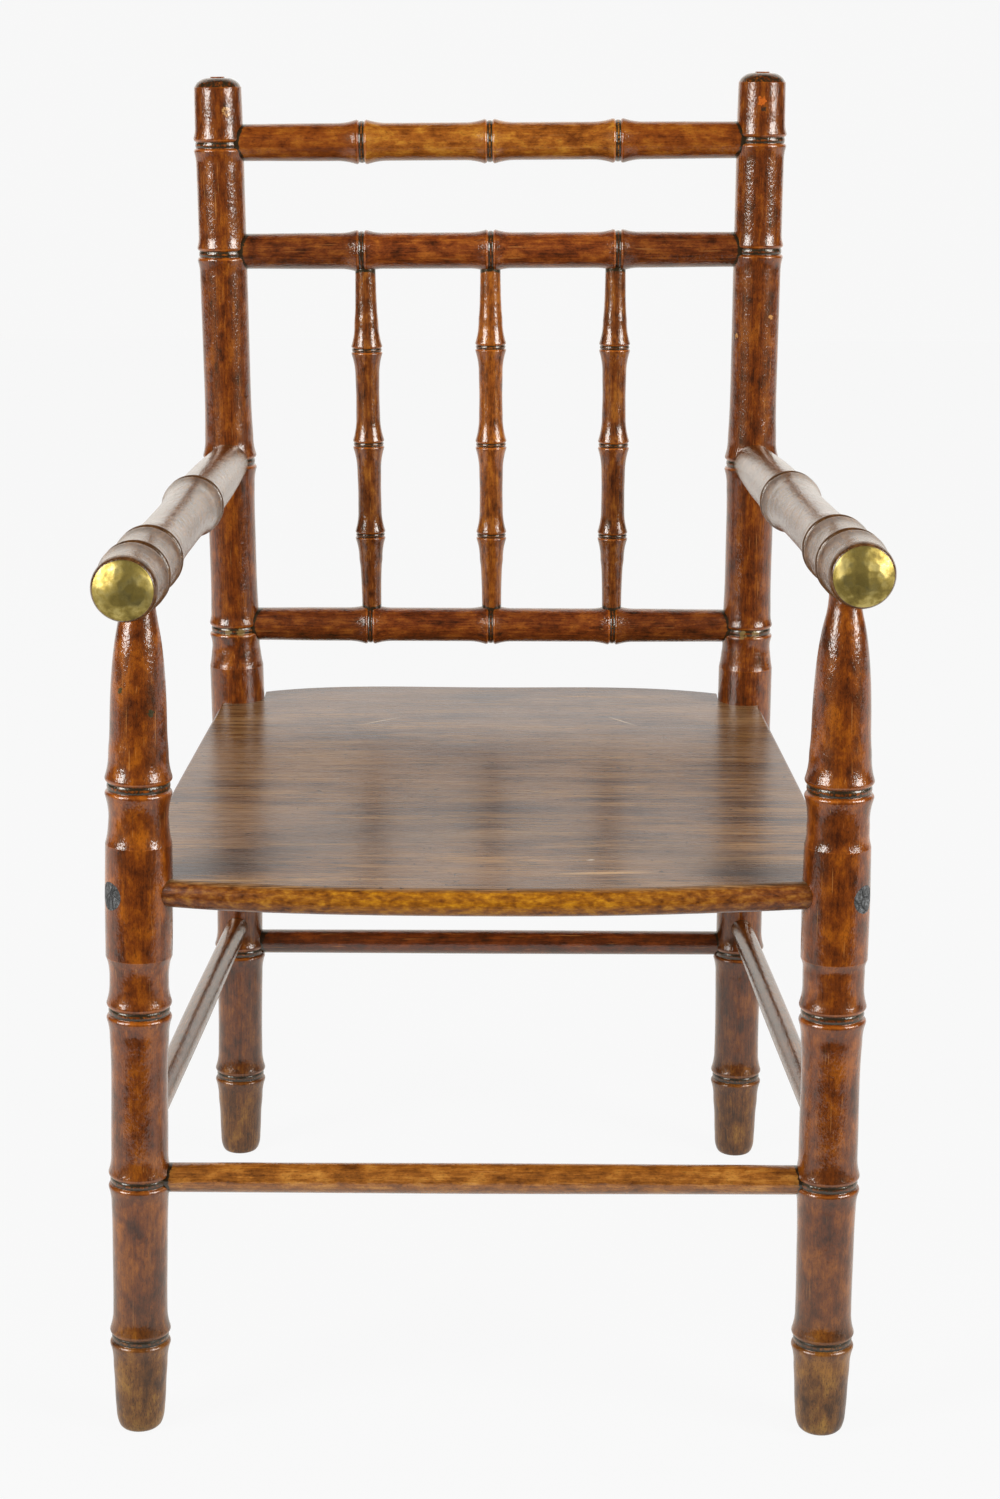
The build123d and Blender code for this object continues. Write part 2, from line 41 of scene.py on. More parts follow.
# Rear posts
# Two round posts of stained beech, turned with bamboo nodes whose grooves are painted black, and bent a
# little at the seat. They run from the floor to a flat dome with a nib, and the rails are glued into them.
middle = Vector((-0.25, 170.7, 0))
outward = {"left": -1, "right": 1}
post_foot = {"left": (-146.3, 327.2), "right": (144.65, 327.2)}
post_knee = {"left": (-143.45, 341.6), "right": (144.7, 341.6)}
post_top = {"left": (-148.2, 351.2), "right": (145.95, 351.2)}
post_bend_height = 246.0
post_top_height = 590.0
right_post_rise = 3.8
dome_start = 608.6
nib_start = 613.4
rise_start = 414
full_rise = 564
lower_post_outline = [
    (0, 8.8), (0.35, 9.7), (1.2, 10.3), (3, 10.95), (11, 11.7), (24, 12.2), (46.5, 14.5, 1.6), (68, 12.8),
    (95, 12.9), (121.5, 14.5, 1.4), (160, 13.1), (207, 14.6, 1.4),
    (226, 13.7), (230, 14.3), (233, 15.1, "edge"), (post_bend_height, 15.1),
]
upper_post_outline = [
    (post_bend_height, 15.1), (289.4, 15.1, "edge"), (292.5, 14.5), (297.5, 13.9), (311, 14.4, 0.95),
    (332, 13.15), (360, 13.1), (386, 13.25), (405.6, 14.9, 1.4), (430, 13.1), (468, 12.95), (494, 13.05),
    (519.8, 14.1, 0.95), (549, 13.1), (578, 14.15, 1.0), (597, 13.05), (608.3, 12.85, "edge"),
    (611.0, 11.0), (613.0, 7.6), (613.5, 4.1, "edge"), (613.6, 4.0, "edge"),
    (614.0, 3.8, "edge"), (614.0, 0),
]
lip_reach = 0.235
lip_crown = 0.12
lip_flank_angle = math.radians(18)
lip_groove_angle = math.radians(75)
bead_rise = 0.45
bead_half = 0.4
bead_paint = 0.4
paint_edge = 0.25
paint_fade = 0.3
wear_centre = 0.5
wear_reach = 1.1
edge_wear = 0.8
facets = 72
outline_step = 1.6
end_step = 0.8
wave_lengths = (18, 60)
grain_shift = 400
foot_reach = 12
join_radius = {"lower": 12.9, "upper": 13.2}
# Dirt and painted shade are full this near a joining piece and fade out over the reach, in millimetres.
grime_and_shade_start = 0.6
grime_and_shade_reach = 2.0
# How strongly a painted shade in the dark paint colour darkens a post's dome.
painted_shade_amount = 0.47


def spot(x, y, z):
    """A place on the chair in metres, from millimetres measured from the middle of the front feet."""
    return (Vector((x, y, z)) - middle) * mm


def arc_points(a, b, c, count):
    """Points on the circle through three points of an outline, from a to c."""
    (ax, ay), (bx, by), (cx, cy) = a, b, c
    d = 2 * (ax * (by - cy) + bx * (cy - ay) + cx * (ay - by))
    a2, b2, c2 = ax * ax + ay * ay, bx * bx + by * by, cx * cx + cy * cy
    ox = (a2 * (by - cy) + b2 * (cy - ay) + c2 * (ay - by)) / d
    oy = (a2 * (cx - bx) + b2 * (ax - cx) + c2 * (bx - ax)) / d
    first, last = math.atan2(ay - oy, ax - ox), math.atan2(cy - oy, cx - ox)
    through = math.atan2(by - oy, bx - ox)
    turn = (last - first) % math.tau
    if (through - first) % math.tau > turn:
        turn -= math.tau
    radius = math.hypot(ax - ox, ay - oy)
    steps = [first + turn * i / count for i in range(count + 1)]
    return [(ox + radius * math.cos(t), oy + radius * math.sin(t)) for t in steps]


def node_points(distance, radius, height):
    """Outline of a bamboo node, with how far each point is painted and how far it is worn."""
    crown = lip_crown * radius
    slant = 1 - math.cos(lip_flank_angle)
    flare = height / slant - crown
    flank = (radius - crown * slant, lip_reach * radius + crown * math.sin(lip_flank_angle))
    groove = (radius - crown * (1 - math.cos(lip_groove_angle)),
              lip_reach * radius - crown * math.sin(lip_groove_angle))
    neck = (radius - height, flank[1] + flare * math.sin(lip_flank_angle))
    bend = (neck[0] + flare * (1 - math.cos(lip_flank_angle / 2)),
            neck[1] - flare * math.sin(lip_flank_angle / 2))
    lip = (radius, lip_reach * radius)
    half = arc_points(neck, bend, flank, 6)[:-1] + arc_points(flank, lip, groove, 9)[:-1]
    bead = arc_points((groove[0], -groove[1]), (groove[0] + bead_rise, 0), groove, 8)
    points = [(r, distance - reach) for r, reach in half] + [(r, distance + way) for r, way in bead]
    points += [(r, distance + reach) for r, reach in reversed(half)]
    marks = []
    for r, height_here in points:
        away = abs(height_here - distance)
        paint = 1 - min(1, max(0, (away - groove[1] + paint_edge * crown) / (paint_fade * crown)))
        if away < bead_half * groove[1]:
            paint = bead_paint
        worn = max(0, 1 - abs(away - lip_reach * radius + wear_centre * crown) / (wear_reach * crown))
        marks.append((paint, worn))
    return points, marks


def smooth_points(points, from_node, to_node):
    """A smooth line through outline points, running straight up where it meets a node."""
    knots = np.array(points, float)
    chords = np.diff(knots, axis=0)
    lengths = np.hypot(chords[:, 0], chords[:, 1])
    slopes = chords / lengths[:, None]
    tangents = np.empty_like(knots)
    tangents[0] = (0, 1) if from_node else slopes[0]
    tangents[-1] = (0, 1) if to_node else slopes[-1]
    for i in range(1, len(knots) - 1):
        before, after = lengths[i - 1], lengths[i]
        tangents[i] = (slopes[i - 1] * after + slopes[i] * before) / (before + after)
    line = [tuple(knots[0])]
    for i, length in enumerate(lengths):
        near_end = i in (0, len(lengths) - 1)
        count = max(1, math.ceil(length / (end_step if near_end else outline_step)))
        for step in range(1, count + 1):
            t = step / count
            a, b = 2 * t ** 3 - 3 * t ** 2 + 1, t ** 3 - 2 * t ** 2 + t
            c, d = -2 * t ** 3 + 3 * t ** 2, t ** 3 - t ** 2
            here = a * knots[i] + b * length * tangents[i] + c * knots[i + 1] + d * length * tangents[i + 1]
            line.append(tuple(here))
    return line


def turned_outline(stations):
    """Outline of a turned piece: radius and distance, paint and wear, and which rings are hard edges.

    A station is a distance and a radius. A third value of "edge" marks a shoulder's edge, and a number
    there marks a node: the radius is that of its lips, and the number is how far they rise from the wood.
    """
    points, marks, edges = [], [], set()
    stretch, from_node = [(stations[0][1], stations[0][0])], False

    def close(last, to_node):
        line = smooth_points(stretch + [last], from_node, to_node) if stretch[-1] != last else [last]
        points.extend(line[1:] if points else line)
        marks.extend([(0, 0)] * (len(points) - len(marks)))

    for distance, radius, *mark in stations[1:]:
        if not mark:
            stretch.append((radius, distance))
        elif mark[0] == "edge":
            close((radius, distance), False)
            edges.add(len(points) - 1)
            marks[-1] = (0, edge_wear)
            stretch, from_node = [(radius, distance)], False
        else:
            lips, worn = node_points(distance, radius, mark[0])
            close(lips[0], True)
            points.extend(lips[1:])
            marks.extend(worn[1:])
            stretch, from_node = [lips[-1]], True
    last = stretch.pop()
    if stretch:
        close(last, False)
    return points, marks, edges


def turned_wood(name, path, stations, grain_seed, wobble=0.12, joins=(), painted_shade_span=None):
    """A turned piece of wood: its outline carried along its axis, with the unevenness of hand turning.

    The path gives distances in millimetres and the places of the axis there. The joins are the axes and
    radii of pieces that it meets, where dirt has gathered and a painted shade darkens the wood beside them.
    Between the two distances of the painted shade span the wood is darkened with a painted shade.
    The unevenness takes between nothing and the wobble off the radius, so the piece stays in its outline.
    """
    points, marks, edges = turned_outline(stations)
    rng = np.random.default_rng(grain_seed)
    phases, waves = rng.uniform(0, math.tau, 6), rng.uniform(*wave_lengths, 3)
    shift = rng.uniform(-grain_shift, grain_shift, 3)
    angles = np.arange(facets) * math.tau / facets
    spans = list(zip(path, path[1:]))
    stands = abs(path[0][1].z) < 1e-9
    rings, woods = [], []
    for radius, distance in points:
        uneven = sum(math.sin(distance / w + p) for w, p in zip(waves, phases)) / 3
        oval = np.sin(2 * angles + phases[3] + distance / 70)
        lobes = oval + 0.6 * np.sin(3 * angles + phases[4] - distance / 45)
        r = radius - wobble * (1.6 + uneven * 0.6 + lobes * 0.6) / 3.2 * min(1, radius / 6)
        (low, start), (high, end) = next((s for s in spans if distance < s[1][0]), spans[-1])
        centre = start.lerp(end, (distance - low) / (high - low))
        turn = np.array(Vector((0, 0, 1)).rotation_difference(end - start).to_matrix())
        ring = (turn @ np.stack([r * np.cos(angles), r * np.sin(angles), np.zeros(facets)])).T * mm
        if stands:
            ring[:, 2] *= min(1, distance / foot_reach)
        rings.append(ring + np.array(centre))
        woods.append(np.stack([r * np.cos(angles), r * np.sin(angles), np.full(facets, distance)], 1))
    shape = np.concatenate(rings)
    faces = []
    for ring in range(len(points) - 1):
        low, high = ring * facets, (ring + 1) * facets
        for i in range(facets):
            j = (i + 1) % facets
            faces.append((low + i, low + j, high + j, high + i))
    faces.append(tuple(reversed(range(facets))))
    top = (len(points) - 1) * facets
    if points[-1][0] > 0.01:
        faces.append(tuple(range(top, top + facets)))
    mesh = bpy.data.meshes.new(name)
    mesh.from_pydata(shape.tolist(), [], faces)
    for face in mesh.polygons:
        face.use_smooth = len(face.vertices) == 4
    sharp = mesh.attributes.new("sharp_edge", "BOOLEAN", "EDGE")
    for edge in mesh.edges:
        a, b = edge.vertices
        sharp.data[edge.index].value = a // facets == b // facets and a // facets in edges
    wood = mesh.attributes.new("wood", "FLOAT_VECTOR", "POINT")
    wood.data.foreach_set("vector", (np.concatenate(woods) + shift).astype(np.float32).ravel())
    # Dirt and painted shade darken the wood near each piece that it meets.
    grime_and_shade = np.zeros(len(shape))
    for a, b, radius in joins:
        a, line = np.array(a), np.array((b - a).normalized())
        away = np.linalg.norm(np.cross(shape - a, line), axis=1) / mm - radius
        grime_and_shade = np.maximum(grime_and_shade, np.clip(1 - (away - grime_and_shade_start) / grime_and_shade_reach, 0, 1))
    # Within the painted shade span, a post's dome takes a painted shade in the dark paint colour.
    painted = [painted_shade_amount if painted_shade_span and painted_shade_span[0] < distance < painted_shade_span[1] else mark[0]
               for (radius, distance), mark in zip(points, marks)]
    layers = {"paint": np.repeat(painted, facets),
              "worn": np.repeat([mark[1] for mark in marks], facets), "grime_and_shade": grime_and_shade}
    for label, values in layers.items():
        layer = mesh.attributes.new(label, "FLOAT", "POINT")
        layer.data.foreach_set("value", values.astype(np.float32))
    piece = bpy.data.objects.new(name, mesh)
    bpy.context.scene.collection.objects.link(piece)
    return piece


def linear(hex_colour):
    """An sRGB hex colour as the linear colour that a shader takes."""
    channels = [int(hex_colour[i:i + 2], 16) / 255 for i in (1, 3, 5)]
    return (*[c / 12.92 if c <= 0.04045 else ((c + 0.055) / 1.055) ** 2.4 for c in channels], 1)


def add_node(tree, kind, inputs=None, stops=None, **settings):
    """Adds a node with its settings. An input takes a value, or the socket that feeds it."""
    node = tree.nodes.new(kind)
    for setting, value in settings.items():
        setattr(node, setting, value)
    for socket, value in (inputs or {}).items():
        if isinstance(value, bpy.types.NodeSocket):
            tree.links.new(value, node.inputs[socket])
        else:
            node.inputs[socket].default_value = value
    if stops:
        ramp = node.color_ramp
        while len(ramp.elements) > 1:
            ramp.elements.remove(ramp.elements[0])
        ramp.elements[0].position, ramp.elements[0].color = stops[0]
        for place, colour in stops[1:]:
            ramp.elements.new(place).color = colour
    return node


def grey(value):
    """A grey for a ramp that shapes a mask."""
    return (value, value, value, 1)


streak_mm = 1.2
pore_mm = 0.5
rub_mm = 5
scratch_mm = 0.9
chip_mm = 1.3
peel_mm = 0.9
ripple_mm = 4
pore_depth = 0.12
ripple_depth = 0.6
# The groove paint's colour, also used for dirt and painted shade at joints and for painted shade on a dome.
groove_paint_and_shade = "#2a251e"
scratch_colour = "#b98a58"
lips_shine_through = 0.8
rail_segment_end = (0.0685, 0.0705)
bare_wood_height = 0.2
smudge_falloff = 0.35


def beyond(tree, place, start, end):
    """A mask that rises from 0 to 1 between two distances, in metres, from the chair's middle plane."""
    sideways = add_node(tree, "ShaderNodeVectorMath", {0: place, 1: (1, 0, 0)}, operation="MULTIPLY")
    away = add_node(tree, "ShaderNodeVectorMath", {0: sideways.outputs[0]}, operation="LENGTH")
    return add_node(tree, "ShaderNodeMapRange", {
        "Value": away.outputs["Value"], "From Min": start, "From Max": end}).outputs[0]


def varnished_wood(name, dark, middle_tone, light, blotch_mm=7.0, grain=0.4, shine=0.08, peel=0.035,
                   lips="#b56c1e", wear=1.0, foot_wear_and_shade=0.0, end_tint=None, smudges=()):
    """Stained hardwood under old glossy varnish: amber blotches, soft grain, fine dark pores and an orange
    peel that breaks up the shine, with black paint in the grooves and rubbed orange lips beside them. The
    dark paint colour also lays dirt and painted shade near joints and a painted shade on a post's dome, and
    where the feet are worn a painted shade darkens the wood towards the floor.

    A smudge is a place in metres from the middle of the feet, a reach in millimetres and a colour. The end
    tint darkens the outer segments of a back rail.
    """
    material = bpy.data.materials.new(name)
    material.use_nodes = True
    tree = material.node_tree
    tree.nodes.clear()
    wood = add_node(tree, "ShaderNodeAttribute", attribute_name="wood").outputs["Vector"]
    grain_space = add_node(tree, "ShaderNodeMapping", {"Vector": wood, "Scale": (1, 1, 1 / 16)}).outputs[0]
    blotch_space = add_node(tree, "ShaderNodeMapping", {"Vector": wood, "Scale": (1, 1, 0.6)}).outputs[0]
    blotches = add_node(tree, "ShaderNodeTexNoise", {
        "Vector": blotch_space, "Scale": 1 / blotch_mm, "Detail": 6, "Roughness": 0.68, "Distortion": 0.15})
    streaks = add_node(tree, "ShaderNodeTexNoise", {
        "Vector": grain_space, "Scale": 1 / streak_mm, "Detail": 5, "Roughness": 0.7})
    pores = add_node(tree, "ShaderNodeTexNoise", {
        "Vector": add_node(tree, "ShaderNodeMapping", {"Vector": wood, "Scale": (1, 1, 1 / 3)}).outputs[0],
        "Scale": 1 / pore_mm, "Detail": 2, "Roughness": 0.5})
    tone = add_node(tree, "ShaderNodeMix", {0: grain, 2: blotches.outputs[0], 3: streaks.outputs[0]})
    tones = add_node(tree, "ShaderNodeValToRGB", {0: tone.outputs[0]},
                     stops=[(0.37, linear(dark)), (0.5, linear(middle_tone)), (0.63, linear(light))])
    fleck = add_node(tree, "ShaderNodeValToRGB", {0: pores.outputs[0]},
                     stops=[(0.33, grey(0.3)), (0.45, grey(1))])
    pored = add_node(tree, "ShaderNodeMix", {0: 0.55, 6: tones.outputs[0], 7: fleck.outputs[0]},
                     data_type="RGBA", blend_type="MULTIPLY").outputs[2]
    worn = add_node(tree, "ShaderNodeAttribute", attribute_name="worn").outputs["Fac"]
    rub = add_node(tree, "ShaderNodeTexNoise", {
        "Vector": wood, "Scale": 1 / rub_mm, "Detail": 5, "Roughness": 0.65})
    rub_amount = add_node(tree, "ShaderNodeMath", {0: worn, 1: rub.outputs[0]}, operation="MULTIPLY")
    rub_mask = add_node(tree, "ShaderNodeValToRGB", {0: rub_amount.outputs[0]},
                        stops=[(0.28, grey(0)), (0.6, grey(lips_shine_through * wear))])
    lipped = add_node(tree, "ShaderNodeMix", {0: rub_mask.outputs[0], 6: pored, 7: linear(lips)},
                      data_type="RGBA").outputs[2]
    scratch_space = add_node(tree, "ShaderNodeMapping", {
        "Vector": wood, "Rotation": (0.5, 0.7, 0.3), "Scale": (1, 1, 1 / 30)}).outputs[0]
    scratches = add_node(tree, "ShaderNodeTexNoise", {
        "Vector": scratch_space, "Scale": 1 / scratch_mm, "Detail": 1})
    scratch_mask = add_node(tree, "ShaderNodeValToRGB", {0: scratches.outputs[0]},
                            stops=[(0.7, grey(0)), (0.76, grey(0.5))])
    scratched = add_node(tree, "ShaderNodeMix", {
        0: scratch_mask.outputs[0], 6: lipped, 7: linear(scratch_colour)}, data_type="RGBA").outputs[2]
    paint = add_node(tree, "ShaderNodeAttribute", attribute_name="paint").outputs["Fac"]
    # The dark paint colour is laid over the grooves, and as dirt and painted shade near joints.
    grime_and_shade = add_node(tree, "ShaderNodeAttribute", attribute_name="grime_and_shade").outputs["Fac"]
    covered = add_node(tree, "ShaderNodeMath", {0: paint, 1: grime_and_shade}, operation="MAXIMUM")
    chip = add_node(tree, "ShaderNodeTexNoise", {"Vector": wood, "Scale": 1 / chip_mm, "Detail": 4})
    ragged = add_node(tree, "ShaderNodeMath", {0: covered.outputs[0], 1: chip.outputs[0]}, operation="ADD")
    paint_and_shade_mask = add_node(tree, "ShaderNodeValToRGB", {0: ragged.outputs[0]},
                          stops=[(0.85, grey(0)), (1.1, grey(1))])
    place = add_node(tree, "ShaderNodeTexCoord").outputs["Object"]
    if end_tint:
        outer = beyond(tree, place, *rail_segment_end)
        scratched = add_node(tree, "ShaderNodeMix", {0: outer, 6: scratched, 7: linear(end_tint)},
                             data_type="RGBA", blend_type="MULTIPLY").outputs[2]
    cover = 1.0
    if foot_wear_and_shade:
        height = add_node(tree, "ShaderNodeSeparateXYZ", {0: place}).outputs["Z"]
        ragged_height = add_node(tree, "ShaderNodeMath", {0: blotches.outputs[0], 1: 0.04, 2: height},
                                 operation="MULTIPLY_ADD").outputs[0]
        low = add_node(tree, "ShaderNodeMapRange", {
            "Value": ragged_height, "From Max": bare_wood_height}).outputs[0]
        kicked = add_node(tree, "ShaderNodeValToRGB", {0: low}, stops=[
            (0.1, grey(foot_wear_and_shade)), (0.25, grey(0.8 * foot_wear_and_shade)), (0.42, grey(0.2 * foot_wear_and_shade)),
            (1.0, grey(0.05 * foot_wear_and_shade))]).outputs[0]
        bare = add_node(tree, "ShaderNodeValToRGB", {0: tone.outputs[0]}, stops=[
            (0.38, linear("#3a2209")), (0.5, linear("#66431b")), (0.62, linear("#8c6a2e"))])
        bare_pored = add_node(tree, "ShaderNodeMix", {0: 0.8, 6: bare.outputs[0], 7: fleck.outputs[0]},
                              data_type="RGBA", blend_type="MULTIPLY").outputs[2]
        # Painted shade: the colour darkens towards the floor, to two thirds of itself below 6 cm.
        shaded_towards_floor = add_node(tree, "ShaderNodeMapRange", {
            "Value": height, "From Min": 0.06, "From Max": 0.26, "To Min": 0.66, "To Max": 1.0}).outputs[0]
        scratched = add_node(tree, "ShaderNodeMix", {0: 1.0, 6: scratched, 7: shaded_towards_floor},
                             data_type="RGBA", blend_type="MULTIPLY").outputs[2]
        scratched = add_node(tree, "ShaderNodeMix", {0: kicked, 6: scratched, 7: bare_pored},
                             data_type="RGBA").outputs[2]
        cover = add_node(tree, "ShaderNodeMapRange", {
            "Value": kicked, "To Min": 1.0, "To Max": 0.25}).outputs[0]
    coloured = add_node(tree, "ShaderNodeMix", {
        0: paint_and_shade_mask.outputs[0], 6: scratched, 7: linear(groove_paint_and_shade)}, data_type="RGBA").outputs[2]
    for centre, reach, colour in smudges:
        away = add_node(tree, "ShaderNodeVectorMath", {0: place, 1: centre}, operation="DISTANCE")
        near = add_node(tree, "ShaderNodeMath", {
            0: away.outputs["Value"], 1: -smudge_falloff / (reach * mm), 2: chip.outputs[0]},
            operation="MULTIPLY_ADD")
        spotted = add_node(tree, "ShaderNodeValToRGB", {0: near.outputs[0]},
                           stops=[(0.16, grey(0)), (0.24, grey(0.85))])
        coloured = add_node(tree, "ShaderNodeMix", {0: spotted.outputs[0], 6: coloured, 7: linear(colour)},
                            data_type="RGBA").outputs[2]
    peel_noise = add_node(tree, "ShaderNodeTexNoise", {
        "Vector": blotch_space, "Scale": 1 / peel_mm, "Detail": 2, "Roughness": 0.5})
    ripple = add_node(tree, "ShaderNodeTexNoise", {
        "Vector": blotch_space, "Scale": 1 / ripple_mm, "Detail": 2})
    craters = add_node(tree, "ShaderNodeValToRGB", {0: peel_noise.outputs[0]},
                       stops=[(0.42, grey(0)), (0.66, grey(1))])
    peel_bump = add_node(tree, "ShaderNodeBump", {
        "Height": craters.outputs[0], "Strength": 1.0, "Distance": peel * mm})
    grain_bump = add_node(tree, "ShaderNodeBump", {
        "Height": pores.outputs[0], "Strength": 0.5, "Distance": pore_depth * mm,
        "Normal": peel_bump.outputs[0]})
    ripple_bump = add_node(tree, "ShaderNodeBump", {
        "Height": ripple.outputs[0], "Strength": 0.5, "Distance": ripple_depth * mm,
        "Normal": grain_bump.outputs[0]})
    shader = add_node(tree, "ShaderNodeBsdfPrincipled", {
        "Base Color": coloured, "Roughness": 0.36, "IOR": 1.45, "Specular IOR Level": 0.4,
        "Coat Weight": cover, "Coat IOR": 1.55, "Coat Roughness": shine, "Coat Tint": linear("#f5dcb0"),
        "Normal": grain_bump.outputs[0], "Coat Normal": ripple_bump.outputs[0]})
    add_node(tree, "ShaderNodeOutputMaterial", {"Surface": shader.outputs[0]})
    return material


def finish_piece(piece, material, slot, *nodes):
    """Gives a piece its material, sets it on the chair and lets it stand for its solids."""
    piece.data.materials.append(material)
    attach(piece, "root")
    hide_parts(*nodes)


def drawn_up(outline, rise):
    """A post's outline with its upper part drawn up by the rise."""
    moved = []
    for height, *others in outline:
        share = min(1, max(0, (height - rise_start) / (full_rise - rise_start)))
        moved.append((height + rise * share, *others))
    return moved


post_varnish = varnished_wood(
    "red_brown_varnished_beech", "#33150a", "#6a340f", "#965a1a", foot_wear_and_shade=0.75, smudges=[
        ((-0.1423, 0.169, 0.596), 2.5, "#c2a074"), ((-0.1423, 0.169, 0.596), 1.4, "#5a2c10"),
        ((-0.1475, 0.1592, 0.311), 2.6, "#857a5c"), ((-0.1395, 0.1592, 0.311), 2.6, "#857a5c"),
        ((0.1418, 0.1592, 0.311), 2.6, "#857a5c"), ((0.1495, 0.1592, 0.311), 2.6, "#857a5c"),
        ((0.1452, 0.168, 0.6029), 2.2, "#c06a28"), ((0.1464, 0.1678, 0.5987), 1.6, "#26282c"),
        ((0.1353, 0.1702, 0.4768), 1.4, "#c9a070"), ((0.1534, 0.1672, 0.4876), 1.4, "#c9a070")])
post_line, post_joins = {}, []
for side in ("left", "right"):
    foot = spot(*post_foot[side], 0)
    bend = spot(*post_knee[side], post_bend_height)
    peak = spot(*post_top[side], post_top_height)
    post_line[side] = (foot, bend, peak)
    post_joins += [(foot, bend, join_radius["lower"]), (bend, peak, join_radius["upper"])]
    rise = right_post_rise if side == "right" else 0
    outline = lower_post_outline[:-1] + drawn_up(upper_post_outline, rise)[1:]
    path = [(0, foot), (post_bend_height, bend), (post_top_height, peak)]
    # The dome between its start and the nib is darkened with a painted shade.
    post = turned_wood(side + "_rear_post_wood", path, outline, 11 + outward[side],
                       painted_shade_span=(dome_start + rise, nib_start + rise))
    finish_piece(post, post_varnish, "post_wood", side + "_rear_post")


def post_at(side, height):
    """The point on a rear post's axis at a height in millimetres."""
    foot, bend, peak = post_line[side]
    if height < post_bend_height:
        return foot.lerp(bend, height / post_bend_height)
    return bend.lerp(peak, (height - post_bend_height) / (post_top_height - post_bend_height))


# Arms
# Two turned arms, glued into the rear posts and set on the front legs. Their varnish is rubbed thin on top,
# and their nodes have brown lips and dark grooves.
arm_height = {"left": 405.7, "right": 406.3}
arm_drift = {"left": -0.0293, "right": 0.0456}
arm_climb = {"left": 0.0150, "right": 0.0331}
arm_length = 371.5
arm_start_x = 145.4
arm_start_y = 347.4
arm_outline = [
    (6, 11.0), (20, 11.2), (50, 12.1), (80, 12.8), (110, 13.1), (153.4, 15.4, 1.8),
    (180, 13.0), (225, 12.5), (270, 13.2), (300.4, 15.8, 1.5), (321, 14.15), (341.7, 16.2, 1.5),
    (361, 14.5), (370.2, 14.3), (371.2, 13.7), (arm_length, 12.9),
]
arm_varnish = varnished_wood("rubbed_brown_beech", "#33200f", "#543922", "#7c5e3e", shine=0.2, peel=0.05,
                             lips="#3e2713", wear=1.0)
arm_axis = {}
for side in ("left", "right"):
    start = spot(outward[side] * arm_start_x, arm_start_y, arm_height[side])
    along = Vector((arm_drift[side], -1, arm_climb[side])).normalized()
    arm_axis[side] = (start, along)
    path = [(0, start), (arm_length, start + along * arm_length * mm)]
    arm = turned_wood(side + "_arm_wood", path, arm_outline, 21 + outward[side], joins=post_joins)
    finish_piece(arm, arm_varnish, "arm_wood", side + "_arm")

# Front legs
# Two turned legs, thick where the seat is screwed to them and tapered to a neck that enters the arm. Hands
# and feet have worn their varnish to a mottled amber.
front_foot_x = {"left": -164.0, "right": 160.0}
front_lean_x = {"left": 0.0209, "right": 0.0}
front_lean_y = 0.0477
front_leg_outline = [
    (0, 8.2), (0.35, 9.2), (1.2, 10.0), (3, 10.7), (11, 11.7), (24, 12.3), (45.8, 14.3, 1.5),
    (66, 12.75), (86, 12.9), (108, 13.15), (124.4, 14.6, 1.3), (146, 13.3), (188, 13.4), (206.8, 15.1, 1.4),
    (226, 13.8), (230, 14.4), (233, 15.4, "edge"), (260, 15.6), (286, 15.3, "edge"),
    (289.5, 14.5), (296, 13.85), (313, 15.4, 1.7),
    (335, 13.2), (350, 12.8), (361, 12.3), (372, 11.4), (380, 10.4), (387, 9.2), (394, 8.1),
]
leg_neck_radius = 7.6
leg_join_radius = 13.8
leg_extra = {"left": 0.0, "right": 0.5}
seat_screwed = (228, 291)
neck_start = 390
leg_varnish = varnished_wood(
    "amber_mottled_beech", "#3e1907", "#70380a", "#a05e10", blotch_mm=9, grain=0.22, foot_wear_and_shade=1.0,
    smudges=[
        ((-0.1634, -0.1647, 0.3591), 1.6, "#26382a"), ((-0.149, -0.1651, 0.3487), 1.8, "#2a3a30"),
        ((-0.1666, -0.1571, 0.3756), 1.3, "#26382a")])
leg_axis = {}
for side in ("left", "right"):
    foot = spot(front_foot_x[side], 0, 0)
    lean = Vector((front_lean_x[side], front_lean_y, 1))
    leg_axis[side] = (foot, lean)
    arm_start, arm_along = arm_axis[side]
    travel = (arm_start.y - foot.y - lean.y * arm_start.z) / -arm_along.y
    leg_top = (arm_start + arm_along * travel).z / mm
    outline = []
    for distance, radius, *lips in front_leg_outline:
        same_on_both = seat_screwed[0] < distance < seat_screwed[1] or distance > neck_start
        outline.append((distance, radius + (0 if same_on_both else leg_extra[side]), *lips))
    outline.append((leg_top, leg_neck_radius))
    path = [(0, foot), (leg_top, foot + lean * leg_top * mm)]
    arm_join = (arm_start, arm_start + arm_along, leg_join_radius)
    leg = turned_wood(side + "_front_leg_wood", path, outline, 31 + outward[side], joins=[arm_join])
    finish_piece(leg, leg_varnish, "leg_wood", side + "_front_leg")

